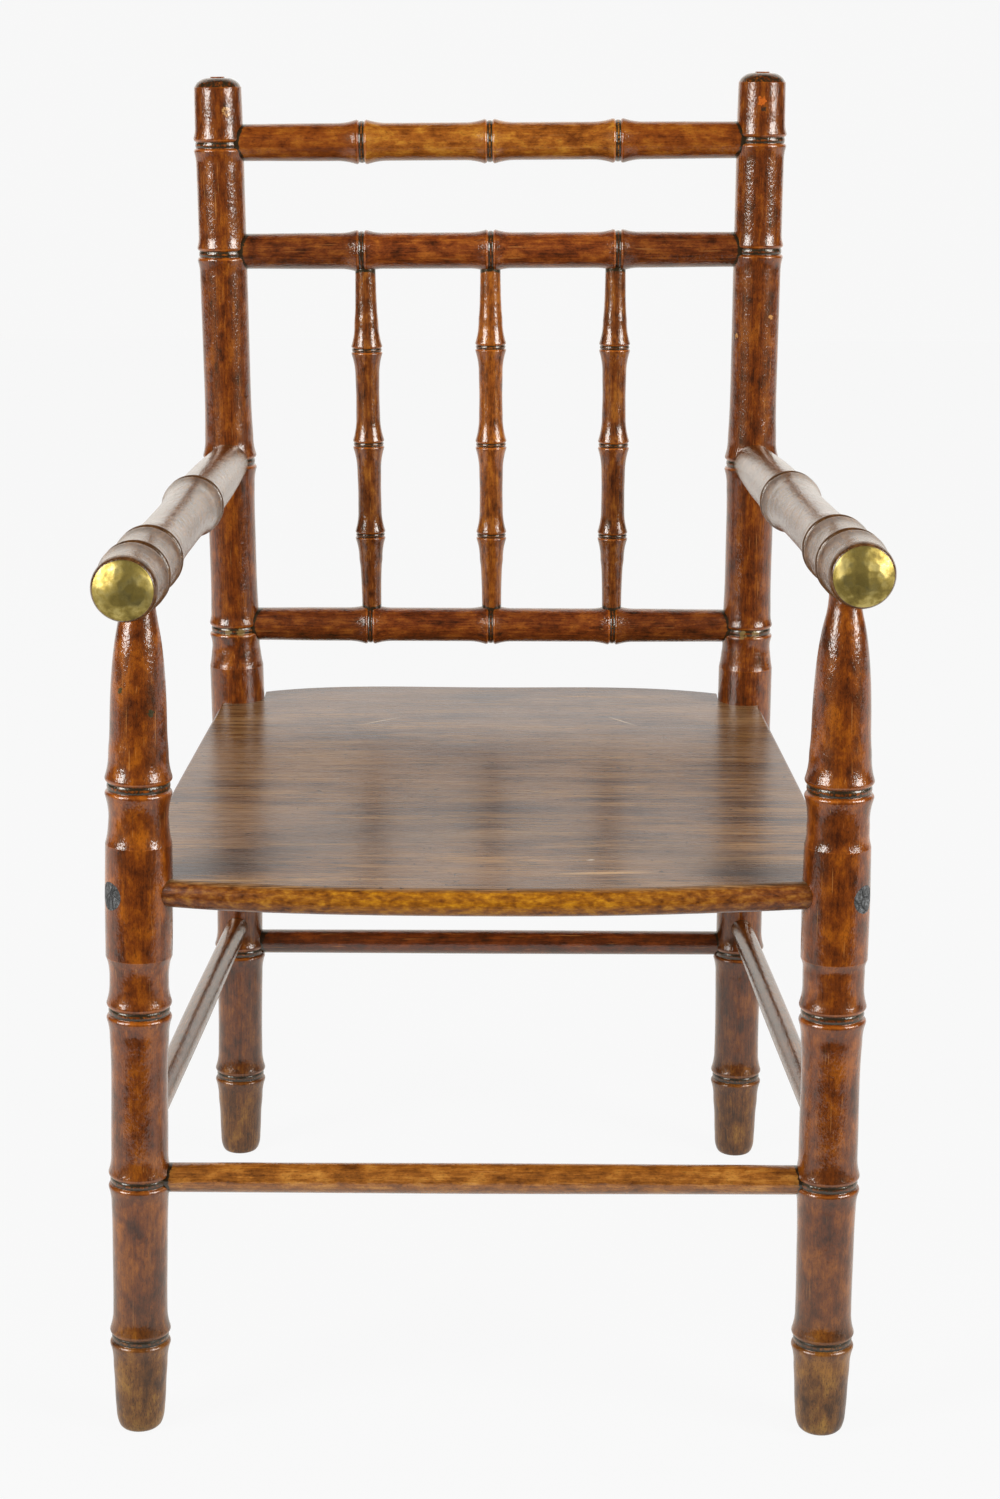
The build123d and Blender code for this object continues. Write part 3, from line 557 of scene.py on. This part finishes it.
# Back rails
# Three turned rails between the posts. The crest rail has faded to a golden brown, and the lower two have
# kept their red stain. Each has three nodes, and the spindles enter the lower two rails there.
rail_rows = {
    "crest_rail": (579.1, 2.8, 10.2, 11.95, (-70.6, -1.1, 68.5)),
    "middle_rail": (520.9, 2.3, 9.85, 11.3, (-71.1, -0.4, 69.3)),
    "lower_rail": (313.1, 0.0, 9.55, 11.1, (-67.7, 0.2, 68.8)),
}
rail_inset = 4
rail_taper = 22
node_swell = 28
crest_varnish = varnished_wood("golden_brown_beech", "#63350f", "#965e25", "#bc8d3d", grain=0.3,
                               end_tint="#dac2b4")
rail_varnish = varnished_wood("dark_red_beech", "#30150b", "#753c1d", "#a2662f", peel=0.06,
                              end_tint="#dfe0e4")
rail_axis = {}
for row, (name, (height, rise, waist, lip, node_places)) in enumerate(rail_rows.items()):
    left_end, right_end = post_at("left", height), post_at("right", height + rise)
    length = (right_end - left_end).length / mm
    rail_axis[name] = (left_end, right_end)
    outline = [(rail_inset, waist - 0.3), (rail_taper, waist - 0.25)]
    for place in node_places:
        node = (spot(place, 0, 0).x - left_end.x) / mm
        outline += [(node - node_swell, waist), (node, lip, lip - waist)]
    outline += [(length - rail_taper, waist - 0.25), (length - rail_inset, waist - 0.3)]
    path = [(0, left_end), (length, right_end)]
    rail = turned_wood(name + "_wood", path, outline, 41 + row, joins=post_joins)
    finish_piece(rail, crest_varnish if name == "crest_rail" else rail_varnish, "rail_wood", name)

# Spindles
# Three slim turned spindles with three nodes each, held between the middle and the lower rail.
brown_varnish = varnished_wood("brown_beech", "#30150b", "#703e1b", "#9a682e", blotch_mm=5)
orange_varnish = varnished_wood("orange_brown_beech", "#42200c", "#8a5020", "#b67c32", blotch_mm=5)
rail_join_radius = {"lower_rail": 10.4, "middle_rail": 10.6}
spindle_wobble = 0.08
spindle_rows = {
    "left_spindle": (-66.9, -69.4, 154.6, brown_varnish),
    "middle_spindle": (0.7, -0.7, 156.6, orange_varnish),
    "right_spindle": (68.4, 68.1, 156.6, brown_varnish),
}


def on_rail(name, x):
    """The point on a rail's axis at a sideways place in millimetres."""
    left_end, right_end = rail_axis[name]
    share = (spot(x, 0, 0).x - left_end.x) / (right_end.x - left_end.x)
    return left_end.lerp(right_end, share)


for row, (name, (foot_x, top_x, upper_node, varnish)) in enumerate(spindle_rows.items()):
    foot, top = on_rail("lower_rail", foot_x), on_rail("middle_rail", top_x)
    length = (top - foot).length / mm
    outline = [
        (3, 5.5), (14, 5.5), (26, 5.75), (34, 6.15), (51.5, 8.4, 1.8),
        (77, 6.5), (102.5, 8.7, 2.0), (129, 6.5), (upper_node, 8.6, 1.9),
        (upper_node + 20, 6.25), (length - 16, 5.75), (length - 3, 5.6),
    ]
    joins = [(*rail_axis[rail], radius) for rail, radius in rail_join_radius.items()]
    path = [(0, foot), (length, top)]
    spindle = turned_wood(name + "_wood", path, outline, 51 + row, spindle_wobble, joins)
    finish_piece(spindle, varnish, "rail_wood", name)

# Stretchers
# Four plain round stretchers, a little fuller in the middle, glued into the legs and posts near the floor.
stretcher_varnish = varnished_wood("plain_brown_beech", "#2c1509", "#5a3216", "#825628", shine=0.16)
front_stretcher_varnish = varnished_wood("golden_stretcher_beech", "#553214", "#90602b", "#ba8e4e")
rear_stretcher_varnish = varnished_wood("smoky_beech", "#2a120a", "#54270f", "#783f18")


def leg_at(side, height):
    """The point on a front leg's axis at a height in millimetres."""
    foot, lean = leg_axis[side]
    return foot + lean * height * mm


stretcher_rows = {
    "front_stretcher": (leg_at("left", 124.6), leg_at("right", 124.6), 6.9, 7.2, front_stretcher_varnish),
    "rear_stretcher": (post_at("left", 126.3), post_at("right", 126.3), 6.8, 7.0, rear_stretcher_varnish),
    "left_stretcher": (post_at("left", 138.2), leg_at("left", 142.8), 6.2, 6.7, stretcher_varnish),
    "right_stretcher": (post_at("right", 138.2), leg_at("right", 142.8), 6.2, 6.7, stretcher_varnish),
}
for row, (name, (start, end, slim, full, varnish)) in enumerate(stretcher_rows.items()):
    length = (end - start).length / mm
    outline = [(4, slim), (length / 4, (slim + full) / 2), (length / 2, full),
               (length * 3 / 4, (slim + full) / 2), (length - 4, slim)]
    joins = post_joins + [(foot, foot + lean, leg_join_radius) for foot, lean in leg_axis.values()]
    stretcher = turned_wood(name + "_wood", [(0, start), (length, end)], outline, 61 + row, joins=joins)
    finish_piece(stretcher, varnish, "stretcher_wood", name)

# Seat
# Two flat boards of the same stained beech, glued edge to edge, with a half-round nosing in front. They are
# cut round the front legs and hollowed for the rear posts, and the varnish on top is rubbed to a satin.
to_millimetres = (1 / mm, 1 / mm, 1 / mm)
seat_height = 270.4
seat_grain_mm = 1.1
seat_grain_run = 60
seat_figure_mm = 16
seat_pore_mm = 0.6
seat_patch_mm = 60
seat_speck_mm = 3.4
seat_mottle_mm = 2.6
seat_wave_mm = 25
seat_wave_depth = 0.5
reddish_nosing = (0.05, 0.13)
seat_marks = [
    ((-59.8, 120.1), (17, 0.6), 38, 0.3, "#d0b896", 1.0),
    ((72.8, 122.2), (14, 0.6), -52, 0.3, "#d0b896", 1.0),
    ((48.9, -131.2), (2.2, 0.8), 20, 0.5, "#d8ccb8", 0.9),
    ((55.2, -150.7), (26, 2.4), 4, 0.3, "#c39a68", 0.8),
    ((-7.4, -94.2), (48, 12), 3, 0.0, "#9c7a55", 0.6),
    ((-118, -140), (34, 20), 10, 0.0, "#2c2117", 0.75),
    ((120, -150), (34, 18), -12, 0.0, "#2c2117", 0.85),
    ((-20, 60), (90, 22), 0, 0.0, "#553a24", 0.4),
]


def oval(tree, place, centre, reach, turn, edge):
    """A soft oval on a flat surface: its middle in metres, half its size in millimetres and its turn."""
    local = add_node(tree, "ShaderNodeMapping", {
        "Vector": place, "Location": centre, "Rotation": (0, 0, math.radians(turn)),
        "Scale": (reach[0] * mm, reach[1] * mm, 10 * mm)}, vector_type="TEXTURE").outputs[0]
    away = add_node(tree, "ShaderNodeVectorMath", {0: local}, operation="LENGTH")
    return add_node(tree, "ShaderNodeMapRange", {
        "Value": away.outputs["Value"], "From Min": 1.0, "From Max": edge}).outputs[0]


def seat_wood(name, shift):
    """Worn satin boards: fine grain across the seat, a grey-brown top with pale rubbed places, dark specks
    and scratches, and golden varnish left on the rounded edges."""
    material = bpy.data.materials.new(name)
    material.use_nodes = True
    tree = material.node_tree
    tree.nodes.clear()
    place = add_node(tree, "ShaderNodeTexCoord").outputs["Object"]
    wood = add_node(tree, "ShaderNodeMapping", {
        "Vector": place, "Scale": to_millimetres, "Location": (shift, shift * 2, 0)}).outputs[0]
    along = add_node(tree, "ShaderNodeMapping", {
        "Vector": wood, "Scale": (1 / seat_grain_run, 1, 1)}).outputs[0]
    grain = add_node(tree, "ShaderNodeTexNoise", {
        "Vector": along, "Scale": 1 / seat_grain_mm, "Detail": 4, "Roughness": 0.7, "Distortion": 0.05})
    figure = add_node(tree, "ShaderNodeTexNoise", {
        "Vector": add_node(tree, "ShaderNodeMapping", {"Vector": wood, "Scale": (1 / 6, 1, 1)}).outputs[0],
        "Scale": 1 / seat_figure_mm, "Detail": 3, "Roughness": 0.5})
    pores = add_node(tree, "ShaderNodeTexNoise", {
        "Vector": add_node(tree, "ShaderNodeMapping", {"Vector": wood, "Scale": (1 / 24, 1, 1)}).outputs[0],
        "Scale": 1 / seat_pore_mm, "Detail": 2})
    patches = add_node(tree, "ShaderNodeTexNoise", {
        "Vector": wood, "Scale": 1 / seat_patch_mm, "Detail": 4, "Roughness": 0.6})
    tone = add_node(tree, "ShaderNodeMix", {0: 0.3, 2: grain.outputs[0], 3: figure.outputs[0]})
    tones = add_node(tree, "ShaderNodeValToRGB", {0: tone.outputs[0]}, stops=[
        (0.39, linear("#34200f")), (0.5, linear("#6e4b2a")), (0.61, linear("#a07848"))])
    pore_mask = add_node(tree, "ShaderNodeValToRGB", {0: pores.outputs[0]},
                         stops=[(0.37, grey(0.12)), (0.46, grey(1))])
    top_colour = add_node(tree, "ShaderNodeMix", {0: 0.85, 6: tones.outputs[0], 7: pore_mask.outputs[0]},
                          data_type="RGBA", blend_type="MULTIPLY").outputs[2]
    patch_mask = add_node(tree, "ShaderNodeValToRGB", {0: patches.outputs[0]},
                          stops=[(0.42, grey(0)), (0.62, grey(0.5))])
    top_colour = add_node(tree, "ShaderNodeMix", {
        0: patch_mask.outputs[0], 6: top_colour, 7: linear("#8a6a4c")}, data_type="RGBA").outputs[2]
    speck_noise = add_node(tree, "ShaderNodeTexNoise", {
        "Vector": wood, "Scale": 1 / seat_speck_mm, "Detail": 2})
    speck = add_node(tree, "ShaderNodeValToRGB", {0: speck_noise.outputs[0]},
                     stops=[(0.28, grey(0.25)), (0.31, grey(1))])
    top_colour = add_node(tree, "ShaderNodeMix", {0: 1.0, 6: top_colour, 7: speck.outputs[0]},
                          data_type="RGBA", blend_type="MULTIPLY").outputs[2]
    for centre, reach, turn, edge, colour, strength in seat_marks:
        mark = oval(tree, place, (centre[0] * mm, centre[1] * mm, seat_height * mm), reach, turn, edge)
        mask = add_node(tree, "ShaderNodeMath", {0: mark, 1: strength}, operation="MULTIPLY").outputs[0]
        top_colour = add_node(tree, "ShaderNodeMix", {0: mask, 6: top_colour, 7: linear(colour)},
                              data_type="RGBA").outputs[2]
    normal = add_node(tree, "ShaderNodeNewGeometry").outputs["True Normal"]
    up = add_node(tree, "ShaderNodeSeparateXYZ", {0: normal})
    edge_mask = add_node(tree, "ShaderNodeMapRange", {
        "Value": up.outputs["Z"], "From Min": 0.99, "From Max": 0.8, "To Min": 0, "To Max": 1})
    mottle = add_node(tree, "ShaderNodeTexNoise", {
        "Vector": add_node(tree, "ShaderNodeMapping", {"Vector": wood, "Scale": (1 / 2, 1, 1)}).outputs[0],
        "Scale": 1 / seat_mottle_mm, "Detail": 5, "Roughness": 0.65})
    golden = add_node(tree, "ShaderNodeValToRGB", {0: mottle.outputs[0]}, stops=[
        (0.3, linear("#51290a")), (0.5, linear("#87510c")), (0.7, linear("#b47a16"))])
    reddish = add_node(tree, "ShaderNodeValToRGB", {0: mottle.outputs[0]}, stops=[
        (0.3, linear("#351808")), (0.5, linear("#6d3a15")), (0.7, linear("#986628"))])
    end_mask = beyond(tree, place, *reddish_nosing)
    varnish = add_node(tree, "ShaderNodeMix", {0: end_mask, 6: golden.outputs[0], 7: reddish.outputs[0]},
                       data_type="RGBA").outputs[2]
    coloured = add_node(tree, "ShaderNodeMix", {0: edge_mask.outputs[0], 6: top_colour, 7: varnish},
                        data_type="RGBA").outputs[2]
    bump = add_node(tree, "ShaderNodeBump", {
        "Height": pores.outputs[0], "Strength": 0.5, "Distance": pore_depth * mm})
    wave = add_node(tree, "ShaderNodeTexNoise", {"Vector": wood, "Scale": 1 / seat_wave_mm, "Detail": 3})
    wave_bump = add_node(tree, "ShaderNodeBump", {
        "Height": wave.outputs[0], "Strength": 0.4, "Distance": seat_wave_depth * mm,
        "Normal": bump.outputs[0]})
    satin = add_node(tree, "ShaderNodeMapRange", {
        "Value": grain.outputs[0], "From Min": 0.3, "From Max": 0.7, "To Min": 0.2, "To Max": 0.36})
    shader = add_node(tree, "ShaderNodeBsdfPrincipled", {
        "Base Color": coloured, "Roughness": satin.outputs[0], "IOR": 1.47, "Specular IOR Level": 0.33,
        "Coat Weight": 0.06, "Coat IOR": 1.5, "Coat Roughness": 0.2, "Normal": wave_bump.outputs[0]})
    add_node(tree, "ShaderNodeOutputMaterial", {"Surface": shader.outputs[0]})
    return material


seat_varnish = seat_wood("satin_worn_beech", 37.0)
for name in ("seat_front_board", "seat_rear_board"):
    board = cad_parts[name]
    board.data.materials.clear()
    board.data.materials.append(seat_varnish)

# Brass domes
# A thin brass dome is nailed over each arm's front end. It was hammered to shape over a stake, which left
# flat dents, and it has tarnished to an olive brown.
cap_radius = 13.4
cap_height = 4.6
cap_edge = 0.5
cap_lap = 0.9
cap_rounding = 0.05
cap_rings = 44
dent_radius = 2.7
dent_depth = 0.2
dent_count = 46
dent_fade = 0.8
tarnish_mm = 6
scuff_mm = 0.7
scuff_depth = 0.12
brass = bpy.data.materials.new("hammered_tarnished_brass")
brass.use_nodes = True
tree = brass.node_tree
tree.nodes.clear()
metal = add_node(tree, "ShaderNodeMapping", {
    "Vector": add_node(tree, "ShaderNodeTexCoord").outputs["Object"], "Scale": to_millimetres}).outputs[0]
tarnish = add_node(tree, "ShaderNodeTexNoise", {
    "Vector": metal, "Scale": 1 / tarnish_mm, "Detail": 6, "Roughness": 0.65})
tarnish_tone = add_node(tree, "ShaderNodeValToRGB", {0: tarnish.outputs[0]}, stops=[
    (0.36, linear("#87763f")), (0.5, linear("#aa954f")), (0.62, linear("#ccb870"))])
scuffs = add_node(tree, "ShaderNodeTexNoise", {"Vector": metal, "Scale": 1 / scuff_mm, "Detail": 3})
scuff_bump = add_node(tree, "ShaderNodeBump", {
    "Height": scuffs.outputs[0], "Strength": 0.3, "Distance": scuff_depth * mm})
dullness = add_node(tree, "ShaderNodeMapRange", {
    "Value": tarnish.outputs[0], "From Min": 0.35, "From Max": 0.65, "To Min": 0.6, "To Max": 0.38})
shader = add_node(tree, "ShaderNodeBsdfPrincipled", {
    "Base Color": tarnish_tone.outputs[0], "Metallic": 1.0, "Roughness": dullness.outputs[0],
    "Normal": scuff_bump.outputs[0]})
add_node(tree, "ShaderNodeOutputMaterial", {"Surface": shader.outputs[0]})
for side in ("left", "right"):
    start, along = arm_axis[side]
    rng = np.random.default_rng(70 + outward[side])
    spread = np.sqrt(rng.uniform(0.05, 1, dent_count)) * cap_radius
    heading = rng.uniform(0, math.tau, dent_count)
    dents = np.stack([spread * np.cos(heading), spread * np.sin(heading)], 1)
    sphere = (cap_radius ** 2 + (cap_height - cap_edge) ** 2) / (2 * (cap_height - cap_edge))
    angles = np.arange(facets) * math.tau / facets
    shape = []
    for r in (cap_radius - cap_lap, cap_radius - cap_rounding):
        shape.append(np.stack([r * np.cos(angles), r * np.sin(angles), np.zeros(facets)], 1))
    for ring in range(cap_rings):
        r = cap_radius * (1 - ring / (cap_rings - 0.5))
        flat = np.stack([r * np.cos(angles), r * np.sin(angles)], 1)
        away = np.linalg.norm(flat[:, None] - dents[None], axis=2).min(axis=1)
        dent = dent_depth * np.clip(1 - (away / dent_radius) ** 2, 0, 1)
        dent *= min(1, (cap_radius - r) / dent_fade)
        z = cap_edge + math.sqrt(sphere ** 2 - r * r) - (sphere - cap_height + cap_edge) - dent
        shape.append(np.column_stack([flat, z]))
    shape = np.concatenate(shape)
    rows = len(shape) // facets
    faces = [(row * facets + i, row * facets + (i + 1) % facets,
              (row + 1) * facets + (i + 1) % facets, (row + 1) * facets + i)
             for row in range(rows - 1) for i in range(facets)]
    faces.append(tuple((rows - 1) * facets + i for i in range(facets)))
    turn = np.array(Vector((0, 0, 1)).rotation_difference(along).to_matrix())
    base = np.array(start + along * arm_length * mm)
    mesh = bpy.data.meshes.new(side + "_cap")
    mesh.from_pydata(((turn @ shape.T).T * mm + base).tolist(), [], faces)
    mesh.shade_smooth()
    cap = bpy.data.objects.new(side + "_brass_dome", mesh)
    bpy.context.scene.collection.objects.link(cap)
    finish_piece(cap, brass, "cap_brass", side + "_arm_cap")

# Screw plugs
# The seat screws' heads are hidden under dark plugs of wood filler, which has dried, cracked and shrunk.
crack_mm = 5.5
crumb_mm = 1.4
crack_depth = 0.5
crumb_depth = 0.4
filler = bpy.data.materials.new("dried_dark_filler")
filler.use_nodes = True
tree = filler.node_tree
tree.nodes.clear()
lump = add_node(tree, "ShaderNodeMapping", {
    "Vector": add_node(tree, "ShaderNodeTexCoord").outputs["Object"], "Scale": to_millimetres}).outputs[0]
cracks = add_node(tree, "ShaderNodeTexVoronoi", {"Vector": lump, "Scale": 1 / crack_mm},
                  feature="DISTANCE_TO_EDGE")
crumbs = add_node(tree, "ShaderNodeTexNoise", {
    "Vector": lump, "Scale": 1 / crumb_mm, "Detail": 5, "Roughness": 0.7})
crumb_tone = add_node(tree, "ShaderNodeValToRGB", {0: crumbs.outputs[0]}, stops=[
    (0.35, linear("#1c1b19")), (0.5, linear("#3a3a38")), (0.68, linear("#7d7f80"))])
crack_mask = add_node(tree, "ShaderNodeValToRGB", {0: cracks.outputs["Distance"]},
                      stops=[(0.0, grey(0.05)), (0.09, grey(1))])
cracked = add_node(tree, "ShaderNodeMix", {0: 1.0, 6: crumb_tone.outputs[0], 7: crack_mask.outputs[0]},
                   data_type="RGBA", blend_type="MULTIPLY").outputs[2]
crack_bump = add_node(tree, "ShaderNodeBump", {
    "Height": crack_mask.outputs[0], "Strength": 0.8, "Distance": crack_depth * mm})
crumb_bump = add_node(tree, "ShaderNodeBump", {
    "Height": crumbs.outputs[0], "Strength": 0.7, "Distance": crumb_depth * mm,
    "Normal": crack_bump.outputs[0]})
shader = add_node(tree, "ShaderNodeBsdfPrincipled", {
    "Base Color": cracked, "Roughness": 0.42, "Normal": crumb_bump.outputs[0]})
add_node(tree, "ShaderNodeOutputMaterial", {"Surface": shader.outputs[0]})
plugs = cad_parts["screw_plugs"]
plugs.data.materials.clear()
plugs.data.materials.append(filler)

# Floor, backdrop and light
# A white paper floor runs back to a white wall. Two tall soft lamps stand at the left and right, and a weak
# wide one stands behind. The room itself is grey.
white = linear("#fafafa")
own_light = 0.965
lamp_aim_height = 0.35


def paper_material(name):
    """White paper that shows white to the eye and in reflections, and still takes a shadow."""
    material = bpy.data.materials.new(name)
    material.use_nodes = True
    tree = material.node_tree
    tree.nodes.clear()
    path = add_node(tree, "ShaderNodeLightPath")
    seen = add_node(tree, "ShaderNodeMath", {
        0: path.outputs["Is Camera Ray"], 1: path.outputs["Is Glossy Ray"]}, operation="MAXIMUM")
    seen_all = add_node(tree, "ShaderNodeMath", {
        0: seen.outputs[0], 1: path.outputs["Is Transmission Ray"]}, operation="MAXIMUM")
    share = add_node(tree, "ShaderNodeMath", {0: seen_all.outputs[0], 1: own_light}, operation="MULTIPLY")
    paper = add_node(tree, "ShaderNodeBsdfDiffuse", {"Color": linear("#c4c4c4")})
    glow = add_node(tree, "ShaderNodeEmission", {"Color": white, "Strength": 1.0})
    mixed = add_node(tree, "ShaderNodeMixShader", {
        0: share.outputs[0], 1: paper.outputs[0], 2: glow.outputs[0]})
    add_node(tree, "ShaderNodeOutputMaterial", {"Surface": mixed.outputs[0]})
    return material


def stage_plane(name, corners, material):
    """A flat piece of the set."""
    mesh = bpy.data.meshes.new(name)
    mesh.from_pydata(corners, [], [tuple(range(len(corners)))])
    plane = bpy.data.objects.new(name, mesh)
    bpy.context.scene.collection.objects.link(plane)
    plane.data.materials.append(material)


floor_half, floor_front, wall_y, wall_height = 4.0, -0.55, 4.0, 6.5
stage_plane("floor", [(-floor_half, floor_front, 0), (floor_half, floor_front, 0),
                      (floor_half, wall_y, 0), (-floor_half, wall_y, 0)], paper_material("floor_paper"))
stage_plane("backdrop", [(-floor_half, wall_y, 0), (floor_half, wall_y, 0),
                         (floor_half, wall_y, wall_height), (-floor_half, wall_y, wall_height)],
            paper_material("backdrop_paper"))


def soft_lamp(name, azimuth, distance, height, width, tall, brightness):
    """A soft lamp facing the chair. The azimuth is from straight in front, towards the right."""
    lamp = bpy.data.lights.new(name, "AREA")
    lamp.shape = "RECTANGLE"
    lamp.size, lamp.size_y = width, tall
    lamp.energy = brightness * math.pi * width * tall
    turn = math.radians(azimuth)
    holder = bpy.data.objects.new(name, lamp)
    bpy.context.scene.collection.objects.link(holder)
    holder.location = (distance * math.sin(turn), -distance * math.cos(turn), height)
    aim = Vector((0, 0, lamp_aim_height)) - holder.location
    holder.rotation_euler = aim.to_track_quat("-Z", "Y").to_euler()
    holder.visible_camera = False


soft_lamp("left_lamp", -56, 2.2, 1.25, 0.9, 1.34, 15.5)
soft_lamp("right_lamp", 62, 2.2, 1.25, 0.9, 1.34, 15.5)
soft_lamp("back_lamp", 180, 1.5, 0.9, 3.0, 1.2, 0.36)

world = bpy.data.worlds.new("room")
bpy.context.scene.world = world
world.use_nodes = True
tree = world.node_tree
tree.nodes.clear()
path = add_node(tree, "ShaderNodeLightPath")
dim = add_node(tree, "ShaderNodeMix", {
    0: path.outputs["Is Glossy Ray"], 6: linear("#9a9a9a"), 7: linear("#333333")}, data_type="RGBA")
room = add_node(tree, "ShaderNodeMix", {0: path.outputs["Is Camera Ray"], 6: dim.outputs[2], 7: white},
                data_type="RGBA")
background = add_node(tree, "ShaderNodeBackground", {"Color": room.outputs[2], "Strength": 1.0})
add_node(tree, "ShaderNodeOutputWorld", {"Surface": background.outputs[0]})

# Camera
# The camera stands a little above the chair's back and looks down at it, 1.2 m in front of its front legs.
photo_height = 1499
focal_pixels = 2797.2
camera_data = bpy.data.cameras.new("camera")
camera_data.sensor_fit = "VERTICAL"
camera_data.sensor_height = 36
camera_data.lens = focal_pixels * camera_data.sensor_height / photo_height
camera = bpy.data.objects.new("camera", camera_data)
bpy.context.scene.collection.objects.link(camera)
camera_place = spot(8.26, -1202.0, 665.5)
pitch, yaw, roll = math.radians(15.401), math.radians(0.0954), math.radians(0.219)
tilt = Matrix.Rotation(math.pi / 2 - pitch, 4, "X") @ Matrix.Rotation(roll, 4, "Z")
camera.matrix_world = Matrix.Translation(camera_place) @ Matrix.Rotation(yaw, 4, "Z") @ tilt
bpy.context.scene.camera = camera
bpy.context.scene.view_settings.view_transform = "Standard"
